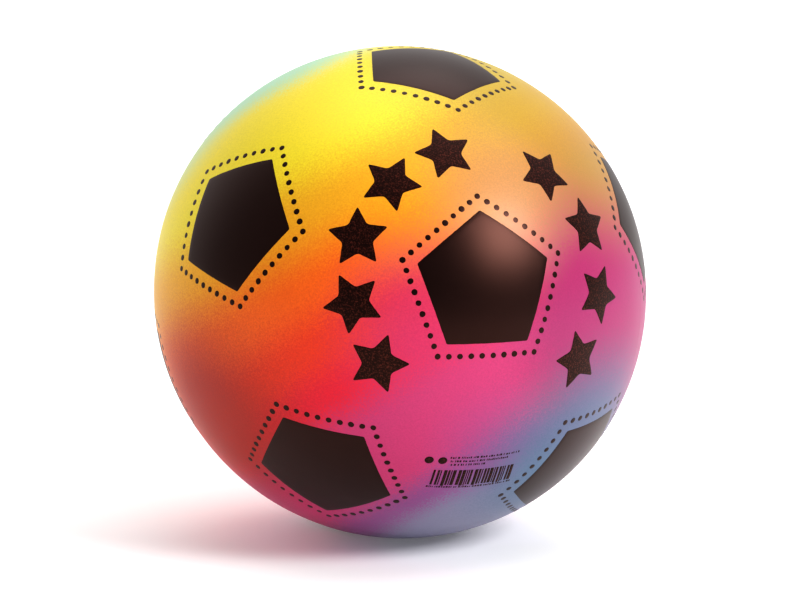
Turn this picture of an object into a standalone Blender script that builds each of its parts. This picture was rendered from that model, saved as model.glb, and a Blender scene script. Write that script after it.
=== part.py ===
"""Light hollow play football: one rotomoulded PVC shell, a needle valve and printed pentagons.

Run it with blender --background --python part.py, or from Blender's text editor.
Lengths are in metres. The origin is the ball's centre, +Z is up, and the valve faces +Y.
"""

import math

import bmesh
import bpy
from mathutils import Matrix, Vector

# Driving dimensions.
BALL_RADIUS = 0.115             # over the prints
PRINT_THICKNESS = 0.00015       # an ink film, drawn thicker than real ink so that it is a solid
PRINT_GAP = 0.00015             # clear space under a film
WALL = 0.0010                   # soft PVC wall
VALVE_RADIUS = 0.0070           # the valve's neck and face
FLANGE_RADIUS = 0.0130          # the valve's flange, inside the ball
CORE_HEAD_RADIUS = 0.0043       # the core's button
CORE_HEAD_DEPTH = 0.0014        # the button's underside, below the valve's face
CORE_STEM_RADIUS = 0.0027
NEEDLE_RADIUS = 0.0006          # blind hole for a pump needle, which the rubber closes round
VALVE_GAP = 0.0003              # clear space between the valve's pieces, and round them

SHELL_RADIUS = BALL_RADIUS - PRINT_THICKNESS - PRINT_GAP
CAVITY_RADIUS = SHELL_RADIUS - WALL

# The printed layout is that of a truncated icosahedron: twelve pentagons in hexagonal fields.
PRINT_ROLL = math.radians(19.5)         # turns the layout about the valve's axis
PENTAGON_RADIUS = math.radians(16.3)    # from a pentagon's centre to its corners, seen from the ball's centre
PENTAGON_CUTS = 4                       # strips along each side of a pentagon

# Resolution of the turned pieces.
BALL_STEPS = 60
OUTER_ARC_STEPS = 30
INNER_ARC_STEPS = 24
VALVE_STEPS = 40


def clear_scene():
    """Remove the objects that a new file opens with."""
    for obj in list(bpy.data.objects):
        bpy.data.objects.remove(obj, do_unlink=True)


def linear(channel):
    """Turn one sRGB channel, 0 to 1, into a linear one."""
    return channel / 12.92 if channel <= 0.04045 else ((channel + 0.055) / 1.055) ** 2.4


def make_material(name, colour, roughness):
    """A Principled material from an sRGB hex colour."""
    material = bpy.data.materials.new(name)
    material.use_nodes = True
    shader = material.node_tree.nodes["Principled BSDF"]
    rgb = [linear(int(colour[i:i + 2], 16) / 255) for i in (0, 2, 4)]
    shader.inputs["Base Color"].default_value = (*rgb, 1.0)
    shader.inputs["Roughness"].default_value = roughness
    shader.inputs["Metallic"].default_value = 0.0
    return material


def add_object(name, mesh, material):
    """Put a mesh in the scene as a named, smooth-shaded piece."""
    mesh.materials.append(material)
    mesh.shade_smooth()
    mesh.set_sharp_from_angle(angle=math.radians(35))
    obj = bpy.data.objects.new(name, mesh)
    bpy.context.scene.collection.objects.link(obj)
    return obj


def arc(radius, start, end, steps):
    """Points (distance from axis, height) on an arc round the ball's centre; angles from the axis's top."""
    angles = [start + (end - start) * i / steps for i in range(steps + 1)]
    return [(radius * math.sin(a), radius * math.cos(a)) for a in angles]


def turned_piece(name, profile, closed, steps, material):
    """Turn a profile of (distance from axis, height) points about the valve's axis.

    A closed profile is a ring's section. An open one has both of its ends on the axis. Either way the
    profile runs down the outer side and up the inner one.
    """
    mesh = bpy.data.meshes.new(name)
    points = [(r, 0.0, z) for r, z in profile]
    edges = [(i, i + 1) for i in range(len(points) - 1)]
    if closed:
        edges.append((len(points) - 1, 0))
    mesh.from_pydata(points, edges, [])
    obj = add_object(name, mesh, material)
    obj.rotation_euler = (math.radians(-90), 0.0, 0.0)      # local +Z becomes +Y
    screw = obj.modifiers.new("turn", "SCREW")
    screw.axis = "Z"
    screw.steps = steps
    screw.render_steps = steps
    screw.use_merge_vertices = True
    screw.merge_threshold = 0.00001
    screw.use_smooth_shade = True
    return obj


def ball_shell(material):
    """The hollow ball: one seamless wall with a round hole for the valve."""
    hole = VALVE_RADIUS + VALVE_GAP
    inner = arc(CAVITY_RADIUS, math.pi, math.asin(hole / CAVITY_RADIUS), INNER_ARC_STEPS)
    outer = arc(SHELL_RADIUS, math.asin(hole / SHELL_RADIUS), math.pi, OUTER_ARC_STEPS)
    inner[0] = (0.0, -CAVITY_RADIUS)
    outer[-1] = (0.0, -SHELL_RADIUS)
    return turned_piece("ball_shell", inner + outer, False, BALL_STEPS, material)


def valve_housing(material):
    """Soft bush set in the shell's hole: a flat face outside, a flange inside and a bored body."""
    face = SHELL_RADIUS
    flange_top = face - 0.0019
    flange_base = face - 0.0042
    body_end = face - 0.0135
    bevel = 0.0004
    fillet = 0.0008
    bore = CORE_STEM_RADIUS + VALVE_GAP
    recess = CORE_HEAD_RADIUS + VALVE_GAP
    recess_floor = face - CORE_HEAD_DEPTH - VALVE_GAP
    profile = [
        (VALVE_RADIUS - bevel, face),
        (VALVE_RADIUS, face - bevel),
        (VALVE_RADIUS, flange_top),
        (FLANGE_RADIUS - bevel, flange_top - fillet),
        (FLANGE_RADIUS, flange_top - fillet - bevel),
        (FLANGE_RADIUS, flange_base + bevel),
        (FLANGE_RADIUS - bevel, flange_base),
        (VALVE_RADIUS + fillet, flange_base),
        (VALVE_RADIUS, flange_base - fillet),
        (VALVE_RADIUS, body_end + bevel),
        (VALVE_RADIUS - bevel, body_end),
        (bore, body_end),
        (bore, recess_floor),
        (recess, recess_floor),
        (recess, face),
    ]
    return turned_piece("valve_housing", profile, True, VALVE_STEPS, material)


def valve_core(material):
    """Self-sealing plug: a button, a stem, a barb behind the bush and a blind hole for the pump needle."""
    face = SHELL_RADIUS
    button_top = face - 0.0002
    button_base = face - CORE_HEAD_DEPTH
    barb_top = face - 0.0138
    tip = face - 0.0185
    bevel = 0.0004
    barb_radius = CORE_STEM_RADIUS + 0.0012
    mouth_radius = NEEDLE_RADIUS + 0.0009
    profile = [
        (0.0, face - 0.0110),
        (NEEDLE_RADIUS, face - 0.0106),
        (NEEDLE_RADIUS, button_top - 0.0016),
        (mouth_radius, button_top),
        (CORE_HEAD_RADIUS - bevel, button_top),
        (CORE_HEAD_RADIUS, button_top - bevel),
        (CORE_HEAD_RADIUS, button_base),
        (CORE_STEM_RADIUS, button_base),
        (CORE_STEM_RADIUS, barb_top),
        (barb_radius, barb_top),
        (barb_radius, barb_top - 0.0006),
        (barb_radius - 0.0016, tip + bevel),
        (barb_radius - 0.0024, tip),
        (0.0, tip),
    ]
    return turned_piece("valve_core", profile, False, VALVE_STEPS, material)


def pentagon_centres():
    """The twelve directions of an icosahedron's corners, three of them round the front, -Y."""
    root = math.sqrt(5)
    near = math.sqrt((5 + 2 * root) / 15)
    far = math.sqrt((5 - 2 * root) / 15)
    sixth_turn = math.radians(60)
    rings = ((-near, 0.0), (-far, sixth_turn), (far, 0.0), (near, sixth_turn))
    centres = []
    for along, phase in rings:
        across = math.sqrt(1 - along ** 2)
        for k in range(3):
            angle = PRINT_ROLL + phase + 2 * sixth_turn * k
            centres.append(Vector((across * math.cos(angle), along, across * math.sin(angle))))
    return centres


def pentagon_corners(centre, centres):
    """Five corner directions in order round one pentagon, each pointing at a neighbouring pentagon."""
    neighbours = [c for c in centres if 0.1 < c.dot(centre) < 0.9]
    first = neighbours[0].cross(centre).normalized()
    corner = Matrix.Rotation(-PENTAGON_RADIUS, 3, first) @ centre
    return [Matrix.Rotation(math.radians(72) * k, 3, centre) @ corner for k in range(5)]


def spherical_pentagon(centre, corners):
    """A bmesh patch on the unit sphere: five triangles, each cut into even strips."""
    bm = bmesh.new()
    places = {}

    def vertex(direction):
        key = tuple(round(value, 5) for value in direction)
        if key not in places:
            places[key] = bm.verts.new(direction)
        return places[key]

    def grid_point(a, b, i, j):
        share = 1 / PENTAGON_CUTS
        return vertex((centre * (1 - i * share) + a * ((i - j) * share) + b * (j * share)).normalized())

    for a, b in zip(corners, corners[1:] + corners[:1]):
        for i in range(PENTAGON_CUTS):
            for j in range(i + 1):
                bm.faces.new([grid_point(a, b, i, j), grid_point(a, b, i + 1, j), grid_point(a, b, i + 1, j + 1)])
            for j in range(i):
                bm.faces.new([grid_point(a, b, i, j), grid_point(a, b, i + 1, j + 1), grid_point(a, b, i, j + 1)])
    return bm


def print_pentagon(name, centre, centres, material):
    """One printed pentagon: a thin film that follows the ball's surface."""
    bm = spherical_pentagon(centre, pentagon_corners(centre, centres))
    inner = list(bm.verts)
    bmesh.ops.extrude_face_region(bm, geom=bm.faces[:], use_keep_orig=True)
    outer = [v for v in bm.verts if v not in set(inner)]
    for vert in inner:
        vert.co *= SHELL_RADIUS + PRINT_GAP
    for vert in outer:
        vert.co *= BALL_RADIUS
    bmesh.ops.recalc_face_normals(bm, faces=bm.faces[:])
    mesh = bpy.data.meshes.new(name)
    bm.to_mesh(mesh)
    bm.free()
    return add_object(name, mesh, material)


def main():
    clear_scene()
    ball_shell(make_material("sprayed_pvc", "F2953A", 0.35))
    valve_housing(make_material("ivory_pvc", "E8E2D2", 0.45))
    valve_core(make_material("grey_rubber", "3A3A3C", 0.70))
    ink = make_material("black_ink", "1D1514", 0.40)
    centres = pentagon_centres()
    for number, centre in enumerate(centres, start=1):
        print_pentagon(f"print_pentagon_{number:02d}", centre, centres, ink)


main()
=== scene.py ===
"""Looks of a light play football, built round its packed model. Metres, +Z up, the valve faces +Y."""

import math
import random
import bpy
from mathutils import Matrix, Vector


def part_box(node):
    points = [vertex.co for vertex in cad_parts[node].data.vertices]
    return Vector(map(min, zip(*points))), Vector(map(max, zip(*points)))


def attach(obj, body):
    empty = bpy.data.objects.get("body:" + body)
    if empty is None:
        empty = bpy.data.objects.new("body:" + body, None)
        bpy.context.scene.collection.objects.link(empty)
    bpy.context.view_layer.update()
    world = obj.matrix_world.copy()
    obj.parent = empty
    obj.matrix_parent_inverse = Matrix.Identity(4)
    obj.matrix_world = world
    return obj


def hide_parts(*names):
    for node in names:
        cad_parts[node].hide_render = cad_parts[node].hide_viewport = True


bl_info = {
    "name": "Play Football",
    "version": (1, 0, 0),
    "blender": (4, 5, 0),
    "location": "3D View > Sidebar > Ball",
    "description": "Makes an airbrushed one-piece play football with its prints, valve and studio",
    "category": "Add Mesh",
}

import bmesh
import bpy
from bpy.props import FloatProperty, FloatVectorProperty, IntProperty, PointerProperty
from mathutils import Quaternion, Vector, noise

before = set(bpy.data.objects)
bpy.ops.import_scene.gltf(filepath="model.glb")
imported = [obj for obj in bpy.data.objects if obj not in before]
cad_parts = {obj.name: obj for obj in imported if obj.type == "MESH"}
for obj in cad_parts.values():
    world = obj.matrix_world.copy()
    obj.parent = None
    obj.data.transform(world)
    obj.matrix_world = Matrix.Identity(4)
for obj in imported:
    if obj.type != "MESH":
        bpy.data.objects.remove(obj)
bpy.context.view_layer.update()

MM = 0.001

# The packed model says how large the ball is, where its prints lie and where its valve ends.
SHELL_RADIUS = -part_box("ball_shell")[0].y
VALVE_RADIUS = 7.0 * MM
FLANGE_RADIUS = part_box("valve_housing")[1].x
CORE_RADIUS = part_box("valve_core")[1].x
HOUSING_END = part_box("valve_housing")[0].y
CORE_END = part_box("valve_core")[0].y
PRINT_NODES = sorted(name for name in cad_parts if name.startswith("print_pentagon"))

# The printing pad laid some pentagons a little off: to their right, upwards, and anticlockwise.
SLIPS = {
    PRINT_NODES[0]: (-1.2 * MM, -1.0 * MM, math.radians(1.8)),
    PRINT_NODES[1]: (-1.8 * MM, 0.0, 0.0),
}

UP = Vector((0, 0, 1))
MOULD_AXIS = Vector((-0.71, -0.06, 0.70)).normalized()      # the ball is a little longer this way
SPIN_AXIS = Vector((-0.50, 0.06, 0.86)).normalized()        # the ball turns about it under the spray guns


def linear_colour(hex_colour):
    """Turn an sRGB hex colour into a linear RGBA tuple."""
    channels = [int(hex_colour[i:i + 2], 16) / 255 for i in (0, 2, 4)]
    curve = [c / 12.92 if c <= 0.04045 else ((c + 0.055) / 1.055) ** 2.4 for c in channels]
    return (*curve, 1.0)


def scaled(colour, share):
    """A lighter or darker tone of a linear colour."""
    return (*(min(1.0, channel * share) for channel in colour[:3]), 1.0)


def colour_property(name, description, hex_colour):
    return FloatVectorProperty(name=name, description=description, subtype="COLOR", size=4, min=0.0, max=1.0,
                               default=linear_colour(hex_colour))


def length_property(name, description, default):
    return FloatProperty(name=name, description=description, default=default, min=0.0, precision=5,
                         subtype="DISTANCE", unit="LENGTH")


class PaintSettings(bpy.types.PropertyGroup):
    """The airbrushed rainbow, from one end of the spin axis to the other."""
    mint: colour_property("Mint", "First gun, at the upper end of the spin axis", "A8D2B0")
    lemon: colour_property("Lemon", "Second gun", "E9D42C")
    amber: colour_property("Amber", "Third gun", "E4A622")
    orange: colour_property("Orange", "Fourth gun", "EC6A18")
    vermilion: colour_property("Vermilion", "Fifth gun", "E23C14")
    scarlet: colour_property("Scarlet", "Sixth gun", "DA1535")
    rose: colour_property("Rose", "Seventh gun", "BE3C71")
    violet: colour_property("Violet", "Eighth gun", "8F4F87")
    steel_blue: colour_property("Steel blue", "Last gun, at the lower end of the spin axis", "88869E")
    ochre: colour_property("Ochre", "Extra pass over the lemon and the amber", "A3882B")
    # Copper is partly paint tone and partly a painted highlight: its pass lightens the paint towards peach
    # where the right softbox's highlight falls.
    copper_and_painted_highlight: colour_property("Copper", "Extra pass over the orange", "B38E5C")
    magenta: colour_property("Magenta", "Extra pass over the scarlet and the rose", "9A3266")
    # Maroon is painted shade: its pass darkens the paint over the lower left front of the ball.
    painted_shade_maroon: colour_property("Maroon", "Extra pass over the vermilion", "A02008")
    lilac: colour_property("Lilac", "Extra pass over the violet", "506E87")
    band_drift: FloatProperty(name="Band drift", description="How far the bands wander, in radii",
                              default=0.04, min=0.0, max=1.0)
    droplet: length_property("Droplet", "A dried spray droplet, drawn coarse enough to show", 0.8 * MM)
    scatter: FloatProperty(name="Scatter", description="How far droplets stray over a band's edge, in radii",
                           default=0.09, min=0.0, max=1.0)


class FormSettings(bpy.types.PropertyGroup):
    """How far the soft ball is from a true sphere."""
    ovality: FloatProperty(name="Ovality", description="Extra length along the mould's axis, as a share",
                           default=0.011, min=0.0, max=0.05)
    waviness: length_property("Waviness", "Height of the wall's slow waves", 0.12 * MM)
    seam_height: length_property("Seam height", "Height of the trimmed line where the mould's halves meet",
                                 0.03 * MM)


class PrintSettings(bpy.types.PropertyGroup):
    """Sizes of the printed ink."""
    ink_thickness: length_property("Ink thickness", "Height of the dried ink over the paint", 0.07 * MM)
    ring_reach: FloatProperty(name="Ring reach", description="From a pentagon's centre to its ring's corners",
                              default=math.radians(20.0), subtype="ANGLE", unit="ROTATION")
    dots_per_side: IntProperty(name="Dots per side", description="Steps along one side of a ring",
                               default=9, min=2)
    dot_diameter: length_property("Dot diameter", "Mean width of a dot", 2.7 * MM)
    star_radius: length_property("Star radius", "From a star's centre to its points", 14.5 * MM)
    arc_reach: FloatProperty(name="Arc reach", description="From the front pentagon's centre to the stars",
                             default=math.radians(31.5), subtype="ANGLE", unit="ROTATION")
    ink: colour_property("Ink", "Warm black pad-printing ink", "0E0708")
    fleck: colour_property("Fleck", "Thin ink over the paint", "763C30")


class ValveSettings(bpy.types.PropertyGroup):
    """Finish of the valve's pieces."""
    bush: colour_property("Bush", "Ivory PVC", "EFE9DA")
    core: colour_property("Core", "Grey rubber", "4A494B")


class StudioSettings(bpy.types.PropertyGroup):
    """Camera, floor and lights."""
    azimuth: FloatProperty(name="Azimuth", description="The camera's turn towards +X from straight in front",
                           default=math.radians(14.8), subtype="ANGLE", unit="ROTATION")
    elevation: FloatProperty(name="Elevation", description="The camera's height angle",
                             default=math.radians(9.7), subtype="ANGLE", unit="ROTATION")
    distance: length_property("Distance", "From the ball's centre to the camera", 2.3)
    lens: FloatProperty(name="Lens", description="Focal length in millimetres", default=221.5, min=1.0)
    aim_drop: length_property("Aim drop", "How far under the ball's centre the camera aims", 3.7 * MM)
    floor: colour_property("Floor", "Pale opal acrylic", "FAFAFA")


# ---------------------------------------------------------------- the ball's surface and what lies on it

def surface(direction, lift=0.0):
    """The point on the ball's outside in a direction from its centre, raised by lift."""
    form = bpy.context.scene.ball_form
    outward = direction.normalized()
    oval = form.ovality * (outward.dot(MOULD_AXIS) ** 2 - 1 / 3)
    wave = form.waviness * noise.noise(outward * 3.5)
    return outward * (SHELL_RADIUS * (1 + oval) + wave + lift)


def print_centres():
    """The direction of each printed pentagon, from the packed model."""
    centres = {}
    for name in PRINT_NODES:
        total = Vector((0, 0, 0))
        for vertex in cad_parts[name].data.vertices:
            total += vertex.co
        centres[name] = total.normalized()
    return centres


def nearest_other(centre, centres):
    """The direction of one of the pentagons next to this one."""
    others = [c for c in centres.values() if c.dot(centre) < 0.99]
    return max(others, key=centre.dot)


def laid_print(name, centres):
    """Where a pentagon and its ring were really laid: their centre, and where one corner points."""
    centre = centres[name]
    right, up = tangent_axes(centre, UP)
    across, along, turn = SLIPS.get(name, (0.0, 0.0, 0.0))
    laid = (centre + (right * across + up * along) / SHELL_RADIUS).normalized()
    corner = Quaternion(centre, turn) @ (nearest_other(centre, centres) - centre)
    return laid, corner


def pentagon_reach():
    """The angle from a pentagon's centre to its corners, from the packed model."""
    name = PRINT_NODES[0]
    centre = print_centres()[name]
    return max(centre.angle(vertex.co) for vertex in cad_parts[name].data.vertices)


def ring_direction(centre, towards, reach):
    """The direction at an angle of reach from centre, on the way to another direction."""
    across = (towards - centre * towards.dot(centre)).normalized()
    return centre * math.cos(reach) + across * math.sin(reach)


def tangent_axes(centre, up_hint):
    """Right and up on the ball's surface, as seen from outside."""
    up = (up_hint - centre * up_hint.dot(centre)).normalized()
    return up.cross(centre), up


def regular_corners(count, radius):
    """Corners of a flat regular shape, the first one straight up."""
    angles = [math.radians(90 + 360 * k / count) for k in range(count)]
    return [(radius * math.cos(a), radius * math.sin(a)) for a in angles]


def softened_outline(corners, corner_radius, step):
    """A flat outline through corners, each rounded off, with a point about every step."""
    count = len(corners)
    outline = []
    for k in range(count):
        before, here, after = (Vector(corners[(k + i) % count]) for i in (-1, 0, 1))
        into = here - (here - before).normalized() * corner_radius
        out_of = here + (after - here).normalized() * corner_radius
        for share in (0.0, 0.33, 0.67, 1.0):
            outline.append(into * (1 - share) ** 2 + here * 2 * share * (1 - share) + out_of * share ** 2)
        next_into = after - (after - here).normalized() * corner_radius
        pieces = max(1, round((next_into - out_of).length / step))
        outline += [out_of.lerp(next_into, i / pieces) for i in range(1, pieces)]
    return outline


def add_ink_film(bm, edge_layer, centre, up_hint, outline, rings, thickness, rough_edge=0.0):
    """Add one closed film of ink, printed flat and wrapped on the ball.

    outline is a loop of flat (x, y) places that can all be seen from its middle.
    """
    right, up = tangent_axes(centre, up_hint)
    root = -0.04 * MM       # the film's underside, just inside the wall
    rim = 0.35 * MM         # width of the rounded-off edge

    def vertex(flat, lift, edge):
        direction = centre + (right * flat.x + up * flat.y) / SHELL_RADIUS
        new = bm.verts.new(surface(direction, lift))
        new[edge_layer] = edge
        return new

    loop = []
    for flat in outline:
        flat = Vector(flat)
        ragged = noise.noise(centre * 50 + Vector((*flat, 0)) / (1.6 * MM)) * rough_edge
        loop.append(flat * (1 + ragged / flat.length))
    shares = [(i + 1) / rings for i in range(rings)]
    tops = []
    for share in shares[:-1]:
        tops.append([vertex(flat * share, thickness, 0.0) for flat in loop])
    tops.append([vertex(flat * (1 - rim / flat.length), thickness, 0.3) for flat in loop])
    tops.append([vertex(flat, thickness * 0.4, 1.0) for flat in loop])
    roots = [[vertex(flat * share, root, 1.0) for flat in loop] for share in reversed(shares)]
    middle = vertex(Vector((0, 0)), thickness, 0.0)
    under = vertex(Vector((0, 0)), root, 1.0)
    levels = tops + roots
    count = len(loop)
    for k in range(count):
        after = (k + 1) % count
        bm.faces.new((middle, levels[0][k], levels[0][after]))
        for inner, outer in zip(levels, levels[1:]):
            bm.faces.new((inner[k], outer[k], outer[after], inner[after]))
        bm.faces.new((levels[-1][k], under, levels[-1][after]))


def new_bmesh():
    bm = bmesh.new()
    return bm, bm.verts.layers.float.new("ink_edge")


def add_piece(name, bm, material, smooth_angle=40):
    """Turn a bmesh into a piece of the ball."""
    bmesh.ops.recalc_face_normals(bm, faces=bm.faces[:])
    mesh = bpy.data.meshes.new(name)
    bm.to_mesh(mesh)
    bm.free()
    mesh.materials.append(material)
    mesh.shade_smooth()
    mesh.set_sharp_from_angle(angle=math.radians(smooth_angle))
    piece = bpy.data.objects.new(name, mesh)
    bpy.context.scene.collection.objects.link(piece)
    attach(piece, "root")
    return piece


def turn_profile(bm, profile, steps):
    """Turn (distance from the valve's axis, height along it) points into a closed surface about +Y."""
    verts = [bm.verts.new((r, y, 0)) for r, y in profile]
    edges = [bm.edges.new(pair) for pair in zip(verts, verts[1:])]
    bmesh.ops.spin(bm, geom=verts + edges, cent=(0, 0, 0), axis=(0, 1, 0), angle=math.tau, steps=steps,
                   use_merge=True)
    bmesh.ops.remove_doubles(bm, verts=bm.verts[:], dist=0.001 * MM)


# ---------------------------------------------------------------- materials

def add_node(tree, kind, settings=None, inputs=None):
    """Add one node with its settings; each input is a value or another node's output."""
    node = tree.nodes.new(kind)
    for name, value in (settings or {}).items():
        setattr(node, name, value)
    for socket, value in (inputs or {}).items():
        if isinstance(value, bpy.types.NodeSocket):
            tree.links.new(value, node.inputs[socket])
        else:
            node.inputs[socket].default_value = value
    return node


def new_material(name):
    """An empty material and its output node."""
    material = bpy.data.materials.new(name)
    material.use_nodes = True
    material.node_tree.nodes.clear()
    return material, material.node_tree, add_node(material.node_tree, "ShaderNodeOutputMaterial")


# Where each gun's band is strongest along the spin axis, from -1 at its lower end to 1 at its upper end.
BANDS = (
    (-0.97, "steel_blue"), (-0.89, "steel_blue"), (-0.79, "violet"), (-0.66, "rose"), (-0.44, "rose"),
    (-0.27, "scarlet"), (-0.08, "vermilion"), (0.14, "orange"), (0.42, "amber"), (0.64, "lemon"),
    (0.86, "lemon"), (0.98, "mint"),
)

# Extra passes: where the gun points, its reach and its soft edge in degrees, its colour and its cover.
PASSES = (
    ((0.30, -0.82, 0.49), 13, 10, "amber", 0.55),
    ((0.98, -0.16, 0.10), 38, 11, "magenta", 0.95),
    ((0.58, -0.02, 0.81), 33, 15, "ochre", 0.80),
    # Partly paint tone, partly a painted highlight where the right softbox's highlight falls.
    ((0.59, -0.63, 0.51), 15, 11, "copper_and_painted_highlight", 0.75),
    ((0.37, -0.92, 0.05), 17, 12, "rose", 0.70),
    # Painted shade: a dark red band over the lower left front.
    ((-0.57, -0.70, -0.42), 22, 14, "painted_shade_maroon", 0.95),
    ((-0.77, -0.12, 0.62), 15, 10, "mint", 0.65),
    ((0.56, -0.68, -0.47), 11, 9, "violet", 0.50),
    ((0.80, -0.30, -0.55), 22, 12, "lilac", 0.85),
)


def rainbow_and_painted_light():
    """Node group: bands of paint round the spin axis that fade into each other in fine droplets, and passes
    over them, one of them painted shade and one partly a painted highlight.
    """
    name = "airbrushed rainbow"
    if name in bpy.data.node_groups:
        return bpy.data.node_groups[name]
    paint = bpy.context.scene.ball_paint
    group = bpy.data.node_groups.new(name, "ShaderNodeTree")
    group.interface.new_socket("Color", in_out="OUTPUT", socket_type="NodeSocketColor")
    group.interface.new_socket("Grain", in_out="OUTPUT", socket_type="NodeSocketFloat")
    place = add_node(group, "ShaderNodeTexCoord").outputs["Object"]
    facing = add_node(group, "ShaderNodeVectorMath", {"operation": "NORMALIZE"}, {0: place}).outputs[0]
    along = add_node(group, "ShaderNodeVectorMath", {"operation": "DOT_PRODUCT"},
                     {0: facing, 1: SPIN_AXIS}).outputs["Value"]
    drift = add_node(group, "ShaderNodeTexNoise", None,
                     {"Vector": facing, "Scale": 1.3, "Detail": 1.0}).outputs["Fac"]
    grain = add_node(group, "ShaderNodeTexNoise", None, {"Vector": place, "Scale": 1 / paint.droplet,
                                                         "Detail": 2.0, "Roughness": 0.7}).outputs["Fac"]
    wander = add_node(group, "ShaderNodeMath", {"operation": "MULTIPLY_ADD"},
                      {0: drift, 1: 2 * paint.band_drift, 2: -paint.band_drift}).outputs[0]
    scatter = add_node(group, "ShaderNodeMath", {"operation": "MULTIPLY_ADD"},
                       {0: grain, 1: 2 * paint.scatter, 2: -paint.scatter}).outputs[0]
    spread = add_node(group, "ShaderNodeMath", {"operation": "ADD"}, {0: wander, 1: scatter}).outputs[0]
    scattered = add_node(group, "ShaderNodeMath", {"operation": "ADD"}, {0: along, 1: spread}).outputs[0]
    position = add_node(group, "ShaderNodeMapRange", None,
                        {"Value": scattered, "From Min": -1.0, "From Max": 1.0}).outputs["Result"]
    ramp = add_node(group, "ShaderNodeValToRGB", None, {"Fac": position})
    ramp.color_ramp.interpolation = "EASE"
    stops = ramp.color_ramp.elements
    while len(stops) < len(BANDS):
        stops.new(0.5)
    for stop, (height, gun) in zip(stops, BANDS):
        stop.position = (height + 1) / 2
        stop.color = getattr(paint, gun)
    colour = ramp.outputs["Color"]
    # The maroon pass is painted shade and the copper pass partly a painted highlight; the other passes are
    # paint.
    for towards, reach, soft, gun, cover in PASSES:
        nearness = add_node(group, "ShaderNodeVectorMath", {"operation": "DOT_PRODUCT"},
                            {0: facing, 1: Vector(towards).normalized()}).outputs["Value"]
        angle = add_node(group, "ShaderNodeMath", {"operation": "ARCCOSINE"}, {0: nearness}).outputs[0]
        ragged = add_node(group, "ShaderNodeMath", {"operation": "ADD"}, {0: angle, 1: spread}).outputs[0]
        mist_and_painted_light = add_node(group, "ShaderNodeMapRange", {"interpolation_type": "SMOOTHSTEP"},
                        {"Value": ragged, "From Min": math.radians(reach - soft),
                         "From Max": math.radians(reach + soft), "To Min": cover, "To Max": 0.0})
        colour = add_node(group, "ShaderNodeMix", {"data_type": "RGBA"},
                          {"Factor": mist_and_painted_light.outputs["Result"], 6: colour, 7: getattr(paint, gun)}).outputs[2]
    shade = add_node(group, "ShaderNodeMapRange", None,
                     {"Value": grain, "From Min": 0.3, "From Max": 0.7, "To Min": 0.92, "To Max": 1.06})
    mottled = add_node(group, "ShaderNodeVectorMath", {"operation": "SCALE"},
                       {0: colour, "Scale": shade.outputs["Result"]}).outputs[0]
    output = add_node(group, "NodeGroupOutput")
    group.links.new(mottled, output.inputs["Color"])
    group.links.new(grain, output.inputs["Grain"])
    return group


def sprayed_pvc():
    """Soft PVC, rotomoulded and airbrushed: satin, with a fine orange peel from the dried spray."""
    material, tree, output = new_material("airbrushed soft PVC")
    paint = add_node(tree, "ShaderNodeGroup", {"node_tree": rainbow_and_painted_light()})
    place = add_node(tree, "ShaderNodeTexCoord").outputs["Object"]
    peel = add_node(tree, "ShaderNodeTexNoise", None,
                    {"Vector": place, "Scale": 1 / (2.2 * MM), "Detail": 2.0}).outputs["Fac"]
    height = add_node(tree, "ShaderNodeMath", {"operation": "MULTIPLY_ADD"},
                      {0: paint.outputs["Grain"], 1: 0.4, 2: peel}).outputs[0]
    bump = add_node(tree, "ShaderNodeBump", None,
                    {"Strength": 0.25, "Distance": 0.05 * MM, "Height": height}).outputs["Normal"]
    rough = add_node(tree, "ShaderNodeMapRange", None,
                     {"Value": paint.outputs["Grain"], "To Min": 0.34, "To Max": 0.44}).outputs["Result"]
    shader = add_node(tree, "ShaderNodeBsdfPrincipled", None,
                      {"Base Color": paint.outputs["Color"], "Roughness": rough, "IOR": 1.48,
                       "Specular IOR Level": 0.42, "Normal": bump})
    tree.links.new(shader.outputs[0], output.inputs["Surface"])
    return material


INK_TINT = (1.0, 0.48, 0.38, 1.0)       # the ink's binder warms what it reflects


def printed_ink():
    """Warm black pad-printing ink, dried satin; it gathers at its edges and shows the warm paint under it."""
    material, tree, output = new_material("pad printing ink")
    ink = bpy.context.scene.ball_print.ink
    place = add_node(tree, "ShaderNodeTexCoord").outputs["Object"]
    edge = add_node(tree, "ShaderNodeAttribute", {"attribute_name": "ink_edge"}).outputs["Fac"]
    cloud = add_node(tree, "ShaderNodeTexNoise", None,
                     {"Vector": place, "Scale": 1 / (9 * MM), "Detail": 3.0}).outputs["Fac"]
    thin = scaled(ink, 1.9)
    body = add_node(tree, "ShaderNodeMix", {"data_type": "RGBA"},
                    {"Factor": cloud, 6: ink, 7: thin}).outputs[2]
    dark = scaled(ink, 0.5)
    colour = add_node(tree, "ShaderNodeMix", {"data_type": "RGBA"},
                      {"Factor": edge, 6: body, 7: dark}).outputs[2]
    weave = add_node(tree, "ShaderNodeTexNoise", None,
                     {"Vector": place, "Scale": 1 / (1.2 * MM), "Detail": 2.0}).outputs["Fac"]
    bump = add_node(tree, "ShaderNodeBump", None,
                    {"Strength": 0.15, "Distance": 0.03 * MM, "Height": weave}).outputs["Normal"]
    shader = add_node(tree, "ShaderNodeBsdfPrincipled", None,
                      {"Base Color": colour, "Roughness": 0.35, "IOR": 1.47, "Specular IOR Level": 0.50,
                       "Specular Tint": INK_TINT, "Normal": bump})
    tree.links.new(shader.outputs[0], output.inputs["Surface"])
    return material


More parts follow.
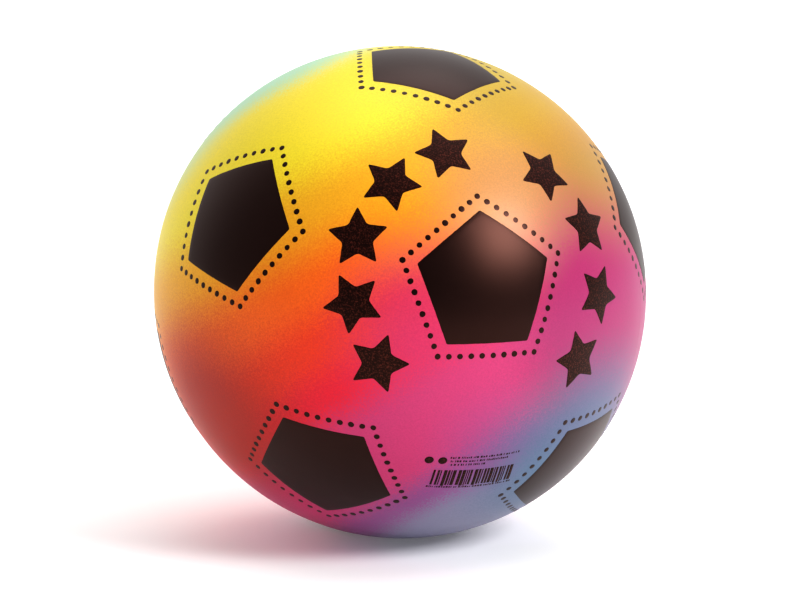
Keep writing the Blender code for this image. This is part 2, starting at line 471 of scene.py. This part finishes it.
def worn_ink():
    """The same ink in a thin coat: satin, and the paint shows through it dimly in fine brown flecks."""
    material, tree, output = new_material("thin pad printing ink")
    prints = bpy.context.scene.ball_print
    place = add_node(tree, "ShaderNodeTexCoord").outputs["Object"]
    edge = add_node(tree, "ShaderNodeAttribute", {"attribute_name": "ink_edge"}).outputs["Fac"]
    speckle = add_node(tree, "ShaderNodeTexNoise", None, {"Vector": place, "Scale": 1 / (0.8 * MM),
                                                          "Detail": 3.0, "Roughness": 0.75}).outputs["Fac"]
    holes = add_node(tree, "ShaderNodeMapRange", {"interpolation_type": "SMOOTHSTEP"},
                     {"Value": speckle, "From Min": 0.46, "From Max": 0.70, "To Max": 0.55}).outputs["Result"]
    inside = add_node(tree, "ShaderNodeMath", {"operation": "MULTIPLY_ADD", "use_clamp": True},
                      {0: edge, 1: -1.0, 2: 1.0}).outputs[0]
    open_share = add_node(tree, "ShaderNodeMath", {"operation": "MULTIPLY"}, {0: holes, 1: inside}).outputs[0]
    colour = add_node(tree, "ShaderNodeMix", {"data_type": "RGBA"},
                      {"Factor": open_share, 6: prints.ink, 7: prints.fleck}).outputs[2]
    bump = add_node(tree, "ShaderNodeBump", None,
                    {"Strength": 0.3, "Distance": 0.05 * MM, "Height": speckle}).outputs["Normal"]
    shader = add_node(tree, "ShaderNodeBsdfPrincipled", None,
                      {"Base Color": colour, "Roughness": 0.38, "IOR": 1.47, "Specular IOR Level": 0.35,
                       "Specular Tint": INK_TINT, "Normal": bump})
    tree.links.new(shader.outputs[0], output.inputs["Surface"])
    return material


def fogged_bush():
    """Ivory PVC, moulded and fitted before spraying, so that the rainbow fogs it."""
    material, tree, output = new_material("moulded ivory PVC")
    valve = bpy.context.scene.ball_valve
    paint = add_node(tree, "ShaderNodeGroup", {"node_tree": rainbow_and_painted_light()})
    cover = add_node(tree, "ShaderNodeMapRange", None,
                     {"Value": paint.outputs["Grain"], "From Min": 0.35, "From Max": 0.65, "To Min": 0.35,
                      "To Max": 0.75}).outputs["Result"]
    colour = add_node(tree, "ShaderNodeMix", {"data_type": "RGBA"},
                      {"Factor": cover, 6: valve.bush, 7: paint.outputs["Color"]}).outputs[2]
    bump = add_node(tree, "ShaderNodeBump", None, {"Strength": 0.2, "Distance": 0.03 * MM,
                                                   "Height": paint.outputs["Grain"]}).outputs["Normal"]
    shader = add_node(tree, "ShaderNodeBsdfPrincipled", None,
                      {"Base Color": colour, "Roughness": 0.45, "IOR": 1.53, "Normal": bump})
    tree.links.new(shader.outputs[0], output.inputs["Surface"])
    return material


def grey_rubber():
    """Grey natural rubber, compression moulded: matt, with a fine bloom."""
    material, tree, output = new_material("moulded grey rubber")
    valve = bpy.context.scene.ball_valve
    place = add_node(tree, "ShaderNodeTexCoord").outputs["Object"]
    bloom = add_node(tree, "ShaderNodeTexNoise", None,
                     {"Vector": place, "Scale": 1 / (0.8 * MM), "Detail": 3.0}).outputs["Fac"]
    pale = scaled(valve.core, 1.8)
    colour = add_node(tree, "ShaderNodeMix", {"data_type": "RGBA"},
                      {"Factor": bloom, 6: valve.core, 7: pale}).outputs[2]
    bump = add_node(tree, "ShaderNodeBump", None,
                    {"Strength": 0.3, "Distance": 0.03 * MM, "Height": bloom}).outputs["Normal"]
    shader = add_node(tree, "ShaderNodeBsdfPrincipled", None,
                      {"Base Color": colour, "Roughness": 0.68, "IOR": 1.52, "Normal": bump})
    tree.links.new(shader.outputs[0], output.inputs["Surface"])
    return material


def shared_material(make, name):
    """The material of that name, made once."""
    return bpy.data.materials.get(name) or make()


# ---------------------------------------------------------------- pieces

class BALL_OT_shell(bpy.types.Operator):
    """Make the hollow ball: one wall, a soft collar round the valve and a trimmed mould seam"""
    bl_idname = "ball.shell"
    bl_label = "Shell"

    STEPS = 192
    OUTER_RINGS = 112
    INNER_RINGS = 32
    WALL = 1.0 * MM
    COLLAR_HEIGHT = 0.25 * MM
    COLLAR_WIDTH = 5.0 * MM
    COLLAR_STEP = 0.4 * MM
    SEAM_WIDTH = 1.2 * MM
    SEAM_STEP = 0.15 * MM

    def polar_angles(self):
        """Angles from the valve's axis, close together at the collar and at the seam."""
        hole = math.asin((VALVE_RADIUS + 0.3 * MM) / SHELL_RADIUS)
        even = [hole + (math.pi - hole) * i / self.OUTER_RINGS for i in range(self.OUTER_RINGS + 1)]
        collar = [hole + i * self.COLLAR_STEP / SHELL_RADIUS for i in range(1, 16)]
        seam = [math.pi / 2 + i * self.SEAM_STEP / SHELL_RADIUS for i in range(-5, 6)]
        return sorted(set(even + collar + seam))

    def raised(self, direction):
        """Height of the collar and of the seam over the plain wall."""
        form = bpy.context.scene.ball_form
        polar = direction.angle(Vector((0, 1, 0)))
        from_hole = polar * SHELL_RADIUS - VALVE_RADIUS
        collar = 0.0
        if from_hole < self.COLLAR_WIDTH:
            collar = self.COLLAR_HEIGHT * math.sin(math.pi * from_hole / self.COLLAR_WIDTH) ** 2
        from_seam = abs(polar - math.pi / 2) * SHELL_RADIUS
        seam = 0.0
        if from_seam < self.SEAM_WIDTH / 2:
            trim = 0.75 + 0.5 * noise.noise(direction * 9)
            seam = form.seam_height * trim * math.cos(math.pi * from_seam / self.SEAM_WIDTH) ** 2
        return collar + seam

    def execute(self, context):
        bm = bmesh.new()
        outer = self.polar_angles()
        inner_radius = SHELL_RADIUS - self.WALL
        inner = [math.pi + (outer[0] - math.pi) * i / self.INNER_RINGS for i in range(self.INNER_RINGS + 1)]
        outside = [(SHELL_RADIUS * math.sin(a), SHELL_RADIUS * math.cos(a)) for a in outer[:-1]]
        inside = [(inner_radius * math.sin(a), inner_radius * math.cos(a)) for a in inner[1:]]
        profile = outside + [(0, -SHELL_RADIUS)]
        cavity = [(0, -inner_radius)] + inside
        turn_profile(bm, cavity + profile, self.STEPS)
        for vert in bm.verts:
            direction = vert.co.normalized()
            depth = vert.co.length - SHELL_RADIUS
            lift = self.raised(direction) if depth > -0.1 * MM else 0.0
            vert.co = surface(direction, depth + lift)
        material = shared_material(sprayed_pvc, "airbrushed soft PVC")
        shell = add_piece("ball_wall", bm, material, smooth_angle=50)
        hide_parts("ball_shell")
        return {"FINISHED"}


class BALL_OT_pentagons(bpy.types.Operator):
    """Print the black pentagons"""
    bl_idname = "ball.pentagons"
    bl_label = "Pentagons"

    INK_SPREAD = 1.02       # the pad squeezes the ink out past the plate's outline

    def execute(self, context):
        sizes = context.scene.ball_print
        material = shared_material(printed_ink, "pad printing ink")
        centres = print_centres()
        radius = SHELL_RADIUS * math.tan(pentagon_reach()) * self.INK_SPREAD
        outline = softened_outline(regular_corners(5, radius), 0.8 * MM, 1.6 * MM)
        for name in centres:
            centre, corner = laid_print(name, centres)
            bm, edge = new_bmesh()
            add_ink_film(bm, edge, centre, corner, outline, 10, sizes.ink_thickness, 0.10 * MM)
            film = add_piece(name.replace("print_", "ink_"), bm, material)
            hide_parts(name)
        return {"FINISHED"}


class BALL_OT_dot_rings(bpy.types.Operator):
    """Print a dotted pentagon round each black one"""
    bl_idname = "ball.dot_rings"
    bl_label = "Dot rings"

    SIDES = 12
    SPREAD = 0.07

    def execute(self, context):
        sizes = context.scene.ball_print
        material = shared_material(printed_ink, "pad printing ink")
        centres = print_centres()
        dice = random.Random(7)
        for number, name in enumerate(centres, start=1):
            centre, corner = laid_print(name, centres)
            right, up = tangent_axes(centre, corner)
            corners = regular_corners(5, SHELL_RADIUS * math.tan(sizes.ring_reach))
            bm, edge = new_bmesh()
            for start, end in zip(corners, corners[1:] + corners[:1]):
                for step in range(sizes.dots_per_side):
                    flat = Vector(start).lerp(Vector(end), step / sizes.dots_per_side)
                    place = (centre + (right * flat.x + up * flat.y) / SHELL_RADIUS).normalized()
                    radius = sizes.dot_diameter / 2 * dice.uniform(1 - self.SPREAD, 1 + self.SPREAD)
                    add_ink_film(bm, edge, place, UP, regular_corners(self.SIDES, radius), 2,
                                 sizes.ink_thickness, 0.12 * MM)
            add_piece(f"dot_ring_{number:02d}", bm, material)
        return {"FINISHED"}


class BALL_OT_star_arcs(bpy.types.Operator):
    """Print two arcs of stars round the front pentagon"""
    bl_idname = "ball.star_arcs"
    bl_label = "Star arcs"

    # Degrees from the right to the arc's first star, degrees from one star to the next, and how many stars.
    ARCS = ((100.0, 28.5, 5), (52.0, -30.3, 4))
    INNER_SHARE = 0.50

    def execute(self, context):
        sizes = context.scene.ball_print
        material = shared_material(worn_ink, "thin pad printing ink")
        front = print_centres()[PRINT_NODES[0]]
        right, up = tangent_axes(front, UP)
        tips = regular_corners(5, sizes.star_radius)
        notches = [(-x * self.INNER_SHARE, -y * self.INNER_SHARE) for x, y in tips]
        corners = [corner for k in range(5) for corner in (tips[k], notches[(k + 3) % 5])]
        outline = softened_outline(corners, 1.3 * MM, 1.3 * MM)
        number = 0
        for first, step, stars in self.ARCS:
            for k in range(stars):
                turn = math.radians(first + step * k)
                outward = right * math.cos(turn) + up * math.sin(turn)
                place = ring_direction(front, outward, sizes.arc_reach)
                bm, edge = new_bmesh()
                add_ink_film(bm, edge, place, outward, outline, 8, sizes.ink_thickness, 0.15 * MM)
                number += 1
                add_piece(f"star_{number}", bm, material)
        return {"FINISHED"}


class BALL_OT_small_print(bpy.types.Operator):
    """Print a plain block of bars, rows of dashes and two discs under the front pentagon"""
    bl_idname = "ball.small_print"
    bl_label = "Small print"

    REACH = math.radians(49)
    TURN = math.radians(-90)
    BAR_START, BAR_END = -19.2 * MM, 20.0 * MM
    BAR_FOOT, BAR_TOP = -6.6 * MM, 4.0 * MM
    # Each row's foot, start and end, and each mark's middle, in millimetres from the block's middle.
    ROWS = ((-8.0, -20.5, 20.5), (11.4, -13.0, 21.5), (9.2, -12.5, 16.0), (7.0, -12.0, 4.0))
    MARKS = ((-22.9, 10.1), (-16.4, 10.1))
    MARK_RADIUS = 2.1 * MM
    INK_THICKNESS = 0.05 * MM

    def stroke(self, bm, edge, place, up, left, foot, width, height, segments):
        """One upright printed stroke; left and foot are its lower left corner on the flat plate."""
        right_axis, up_axis = tangent_axes(place, up)
        middle = Vector((left + width / 2, foot + height / 2))
        centre = (place + (right_axis * middle.x + up_axis * middle.y) / SHELL_RADIUS).normalized()
        x, y = width / 2, height / 2
        corners = [(-x, -y), (x, -y), (x, y), (-x, y)]
        outline = []
        for start, end, count in zip(corners, corners[1:] + corners[:1], (1, segments, 1, segments)):
            outline += [Vector(start).lerp(Vector(end), i / count) for i in range(count)]
        add_ink_film(bm, edge, centre, up_axis, outline, 1, self.INK_THICKNESS)

    def execute(self, context):
        material = shared_material(worn_ink, "thin pad printing ink")
        front = print_centres()[PRINT_NODES[0]]
        right, up = tangent_axes(front, UP)
        place = ring_direction(front, right * math.cos(self.TURN) + up * math.sin(self.TURN), self.REACH)
        dice = random.Random(11)
        bm, edge = new_bmesh()
        across = self.BAR_START
        while across < self.BAR_END:
            width = dice.choice((0.5, 0.5, 1.0, 1.0, 1.5)) * MM
            foot = self.BAR_FOOT + dice.choice((0.0, 0.6, 0.6)) * MM
            self.stroke(bm, edge, place, front, across, foot, width, self.BAR_TOP - foot, 8)
            across += width + dice.choice((0.45, 0.45, 0.8, 1.1)) * MM
        add_piece("bar_block", bm, material)
        bm, edge = new_bmesh()
        for foot, start, end in self.ROWS:
            across = start * MM
            while across < end * MM:
                width = dice.choice((0.4, 0.6, 0.9)) * MM
                height = dice.choice((0.8, 1.1, 1.1)) * MM
                self.stroke(bm, edge, place, front, across, foot * MM, width, height, 1)
                across += width + dice.choice((0.4, 0.4, 0.9)) * MM
        right_axis, up_axis = tangent_axes(place, front)
        for x, y in self.MARKS:
            centre = (place + (right_axis * x + up_axis * y) * MM / SHELL_RADIUS).normalized()
            disc = regular_corners(16, self.MARK_RADIUS)
            add_ink_film(bm, edge, centre, up_axis, disc, 2, self.INK_THICKNESS)
        add_piece("dash_rows", bm, material)
        return {"FINISHED"}


class BALL_OT_valve(bpy.types.Operator):
    """Make the valve's bush and its self-sealing core"""
    bl_idname = "ball.valve"
    bl_label = "Valve"

    STEPS = 96
    EDGE = 0.4 * MM
    RECESS = 4.6 * MM
    RECESS_DEPTH = 1.7 * MM
    BORE = 3.0 * MM
    HOLE = 0.6 * MM
    STEM = 2.7 * MM
    BUTTON_DEPTH = 1.4 * MM
    BARB_DEPTH = 13.8 * MM

    def bush_profile(self):
        """The bush's section: up its recess, over its face, round its flange and up its bore."""
        end = SHELL_RADIUS - HOUSING_END
        section = [
            # the recess for the plug's button, and its rounded lip
            (self.RECESS, self.RECESS_DEPTH), (self.RECESS, 0.15 * MM), (4.72 * MM, 0.04 * MM),
            (4.9 * MM, 0.0),
            # the face with its fine groove, and the outer lip
            (5.6 * MM, 0.0), (5.75 * MM, 0.2 * MM), (5.95 * MM, 0.2 * MM), (6.1 * MM, 0.0), (6.55 * MM, 0.0),
            (6.85 * MM, 0.1 * MM), (VALVE_RADIUS, 0.35 * MM),
            # the neck in the shell's hole, and the flange inside the ball
            (VALVE_RADIUS, 1.9 * MM), (FLANGE_RADIUS - self.EDGE, 2.7 * MM), (FLANGE_RADIUS, 3.1 * MM),
            (FLANGE_RADIUS, 3.8 * MM), (FLANGE_RADIUS - self.EDGE, 4.2 * MM), (7.8 * MM, 4.2 * MM),
            (7.2 * MM, 4.4 * MM), (VALVE_RADIUS, 5.0 * MM),
            # the body, and its bore
            (VALVE_RADIUS, end - self.EDGE), (VALVE_RADIUS - self.EDGE, end), (self.BORE, end),
            (self.BORE, self.RECESS_DEPTH), (self.RECESS, self.RECESS_DEPTH),
        ]
        return [(radius, SHELL_RADIUS - depth) for radius, depth in section]

    def plug_profile(self):
        """The plug's section: up the needle's hole, over the button, down the stem and round the barb."""
        end = SHELL_RADIUS - CORE_END
        section = [
            # the blind hole, and the funnel that leads the needle in
            (0.0, 11.0 * MM), (self.HOLE, 10.6 * MM), (self.HOLE, 1.5 * MM), (0.8 * MM, 1.0 * MM),
            (1.3 * MM, 0.55 * MM), (1.7 * MM, 0.32 * MM), (2.0 * MM, 0.18 * MM),
            # the button
            (2.3 * MM, 0.25 * MM), (3.4 * MM, 0.25 * MM), (4.0 * MM, 0.35 * MM), (CORE_RADIUS, 0.7 * MM),
            (CORE_RADIUS, self.BUTTON_DEPTH),
            # the stem, and the barb behind the bush
            (self.STEM, self.BUTTON_DEPTH), (self.STEM, self.BARB_DEPTH), (3.7 * MM, self.BARB_DEPTH),
            (3.9 * MM, 14.1 * MM), (3.8 * MM, 14.6 * MM), (2.3 * MM, end - 0.5 * MM), (1.5 * MM, end),
            (0.0, end),
        ]
        return [(radius, SHELL_RADIUS - depth) for radius, depth in section]

    def execute(self, context):
        bm = bmesh.new()
        turn_profile(bm, self.bush_profile(), self.STEPS)
        material = shared_material(fogged_bush, "moulded ivory PVC")
        piece = add_piece("valve_bush", bm, material)
        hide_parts("valve_housing")
        bm = bmesh.new()
        turn_profile(bm, self.plug_profile(), self.STEPS)
        material = shared_material(grey_rubber, "moulded grey rubber")
        piece = add_piece("valve_plug", bm, material)
        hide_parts("valve_core")
        return {"FINISHED"}


# ---------------------------------------------------------------- studio

# Name, place, side in metres and power in watts. The right one makes the highlight on the front print.
SOFTBOXES = (
    ("overhead_softbox", (0.20, 0.30, 1.90), 2.2, 16.2),
    ("right_softbox", (1.19, -0.45, 0.73), 0.56, 13.5),
)

# The floor's size, and how much it glows near the ball and far from it; the glow is painted light.
FLOOR_RADIUS = 3.0
NEAR_GLOW, FAR_GLOW = 0.10, 0.45

# Where the backdrop and the reflector stand, and how bright they and the room are.
TOWARDS_BACKDROP = (-0.15, 0.95, 0.27)
TOWARDS_REFLECTOR = (-0.80, -0.40, 0.45)
ROOM_LEVEL = 0.13
BACKDROP_LEVEL = 0.76
REFLECTOR_LEVEL = 0.25


class BALL_OT_studio(bpy.types.Operator):
    """Set the pale floor, the soft lights and the camera"""
    bl_idname = "ball.studio"
    bl_label = "Studio"

    def execute(self, context):
        studio = context.scene.ball_studio
        floor_height = min(v.co.z for v in bpy.data.objects["ball_wall"].data.vertices)
        add_floor(floor_height, studio)
        add_world()
        for name, place, side, power in SOFTBOXES:
            add_softbox(name, place, side, power)
        add_camera(studio)
        context.scene.view_settings.view_transform = "Standard"
        context.scene.view_settings.look = "High Contrast"
        return {"FINISHED"}


def add_floor(height, studio):
    """A pale floor that fills the frame from every side; it glows with painted light, more strongly away from
    the ball.
    """
    bm = bmesh.new()
    bmesh.ops.create_circle(bm, cap_ends=True, segments=96, radius=FLOOR_RADIUS)
    bmesh.ops.translate(bm, verts=bm.verts, vec=(0, 0, height))
    mesh = bpy.data.meshes.new("floor")
    bm.to_mesh(mesh)
    bm.free()
    material, tree, output = new_material("sanded opal acrylic")
    place = add_node(tree, "ShaderNodeTexCoord").outputs["Object"]
    away = add_node(tree, "ShaderNodeVectorMath", {"operation": "LENGTH"}, {0: place}).outputs["Value"]
    # Painted light: the floor glows by itself, weakly near the ball and more strongly away from it.
    glow = add_node(tree, "ShaderNodeMapRange", {"interpolation_type": "SMOOTHSTEP"},
                    {"Value": away, "From Min": 0.4, "From Max": 2.4, "To Min": NEAR_GLOW,
                     "To Max": FAR_GLOW})
    shader = add_node(tree, "ShaderNodeBsdfPrincipled", None,
                      {"Base Color": studio.floor, "Roughness": 0.9, "Specular IOR Level": 0.1,
                       "Emission Color": studio.floor, "Emission Strength": glow.outputs["Result"]})
    tree.links.new(shader.outputs[0], output.inputs["Surface"])
    mesh.materials.append(material)
    floor = bpy.data.objects.new("floor", mesh)
    bpy.context.scene.collection.objects.link(floor)


def add_world():
    """A lit backdrop behind the ball, a dim room in front of it and a pale reflector on its left."""
    world = bpy.data.worlds.new("studio")
    world.use_nodes = True
    tree = world.node_tree
    tree.nodes.clear()
    place = add_node(tree, "ShaderNodeTexCoord").outputs["Generated"]
    behind = add_node(tree, "ShaderNodeVectorMath", {"operation": "DOT_PRODUCT"},
                      {0: place, 1: TOWARDS_BACKDROP}).outputs["Value"]
    backdrop = add_node(tree, "ShaderNodeMapRange", {"interpolation_type": "SMOOTHSTEP"},
                        {"Value": behind, "From Min": 0.0, "From Max": 0.75, "To Min": ROOM_LEVEL,
                         "To Max": BACKDROP_LEVEL}).outputs["Result"]
    aside = add_node(tree, "ShaderNodeVectorMath", {"operation": "DOT_PRODUCT"},
                     {0: place, 1: TOWARDS_REFLECTOR}).outputs["Value"]
    reflector = add_node(tree, "ShaderNodeMapRange", {"interpolation_type": "SMOOTHSTEP"},
                         {"Value": aside, "From Min": 0.0, "From Max": 0.9,
                          "To Max": REFLECTOR_LEVEL}).outputs["Result"]
    level = add_node(tree, "ShaderNodeMath", {"operation": "ADD"}, {0: backdrop, 1: reflector}).outputs[0]
    background = add_node(tree, "ShaderNodeBackground", None, {"Color": (1, 1, 1, 1), "Strength": level})
    output = add_node(tree, "ShaderNodeOutputWorld")
    tree.links.new(background.outputs[0], output.inputs["Surface"])
    bpy.context.scene.world = world


def add_softbox(name, place, side, power):
    """A square soft light that faces the ball."""
    light = bpy.data.lights.new(name, "AREA")
    light.shape = "SQUARE"
    light.size = side
    light.energy = power
    lamp = bpy.data.objects.new(name, light)
    lamp.location = place
    lamp.rotation_euler = (-Vector(place)).to_track_quat("-Z", "Y").to_euler()
    bpy.context.scene.collection.objects.link(lamp)


def add_camera(studio):
    """A long lens, a little above the ball and to its right."""
    camera = bpy.data.cameras.new("camera")
    camera.lens = studio.lens
    camera.clip_start = 0.05
    camera.clip_end = 100.0
    away = Vector((math.sin(studio.azimuth) * math.cos(studio.elevation),
                   -math.cos(studio.azimuth) * math.cos(studio.elevation), math.sin(studio.elevation)))
    aim = Vector((0, 0, -studio.aim_drop))
    holder = bpy.data.objects.new("camera", camera)
    holder.location = away * studio.distance
    holder.rotation_euler = (aim - holder.location).to_track_quat("-Z", "Y").to_euler()
    bpy.context.scene.collection.objects.link(holder)
    bpy.context.scene.camera = holder


# ---------------------------------------------------------------- panel and registration

OPERATORS = (BALL_OT_shell, BALL_OT_pentagons, BALL_OT_dot_rings, BALL_OT_star_arcs, BALL_OT_small_print,
             BALL_OT_valve, BALL_OT_studio)
SETTINGS = {"ball_paint": PaintSettings, "ball_form": FormSettings, "ball_print": PrintSettings,
            "ball_valve": ValveSettings, "ball_studio": StudioSettings}


class BALL_PT_panel(bpy.types.Panel):
    """Settings and steps of the play football"""
    bl_idname = "BALL_PT_panel"
    bl_label = "Play Football"
    bl_space_type = "VIEW_3D"
    bl_region_type = "UI"
    bl_category = "Ball"

    def draw(self, context):
        for operator in OPERATORS:
            self.layout.operator(operator.bl_idname)
        for name, settings in SETTINGS.items():
            box = self.layout.box()
            box.label(text=settings.__doc__)
            for prop in settings.__annotations__:
                box.prop(getattr(context.scene, name), prop)


def register():
    for cls in (*SETTINGS.values(), *OPERATORS, BALL_PT_panel):
        bpy.utils.register_class(cls)
    for name, settings in SETTINGS.items():
        setattr(bpy.types.Scene, name, PointerProperty(type=settings))


def unregister():
    for name in SETTINGS:
        delattr(bpy.types.Scene, name)
    for cls in reversed((*SETTINGS.values(), *OPERATORS, BALL_PT_panel)):
        bpy.utils.unregister_class(cls)


def main():
    register()
    for step in ("shell", "pentagons", "dot_rings", "star_arcs", "small_print", "valve", "studio"):
        getattr(bpy.ops.ball, step)()


if __name__ == "__main__":
    main()
